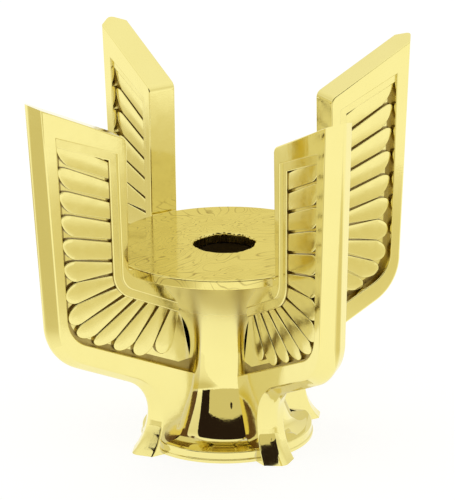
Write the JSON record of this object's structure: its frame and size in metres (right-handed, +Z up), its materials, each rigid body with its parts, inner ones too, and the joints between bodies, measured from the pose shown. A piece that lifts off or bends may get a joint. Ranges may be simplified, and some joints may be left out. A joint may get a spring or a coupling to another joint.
{
  "type": "winged trophy riser",
  "caption": "Polished gold riser: a trumpet column on a base ring carries a round platform with a rod hole, and L-shaped wings with feather relief stand round it.",
  "frame": {"origin": "centre of the base on the surface it stands on", "axes": "+Z up along the column's axis; +X and +Y along two neighbouring wings"},
  "size_m": [0.088, 0.088, 0.0765],
  "materials": {
    "base_gold": "polished, vacuum-metallised in pale gold over moulded plastic",
    "column_gold": "mirror-polished, vacuum-metallised in pale gold over moulded plastic",
    "platform_gold": "polished, metallised in pale gold, with faint flow marks on the top",
    "wing_gold": "polished, vacuum-metallised in pale gold over moulded plastic",
    "feather_gold": "polished relief, metallised in pale gold",
    "hidden_gold": "thin metallising on the inside, slightly dull",
    "screw_steel": "zinc-plated"
  },
  "bodies": {
    "root": {"base_ring": "base_gold", "pedestal_column": "column_gold", "platform_disc": "platform_gold", "rod_collar": "hidden_gold", "seat_plate": "hidden_gold", "wing_frame_1": "wing_gold", "feather_panel_1_left": "feather_gold", "feather_panel_1_right": "feather_gold", "wing_screw_1": "screw_steel", "wing_frame_2": "wing_gold", "feather_panel_2_left": "feather_gold", "feather_panel_2_right": "feather_gold", "wing_screw_2": "screw_steel", "wing_frame_3": "wing_gold", "feather_panel_3_left": "feather_gold", "feather_panel_3_right": "feather_gold", "wing_screw_3": "screw_steel", "wing_frame_4": "wing_gold", "feather_panel_4_left": "feather_gold", "feather_panel_4_right": "feather_gold", "wing_screw_4": "screw_steel"}
  },
  "joints": []
}
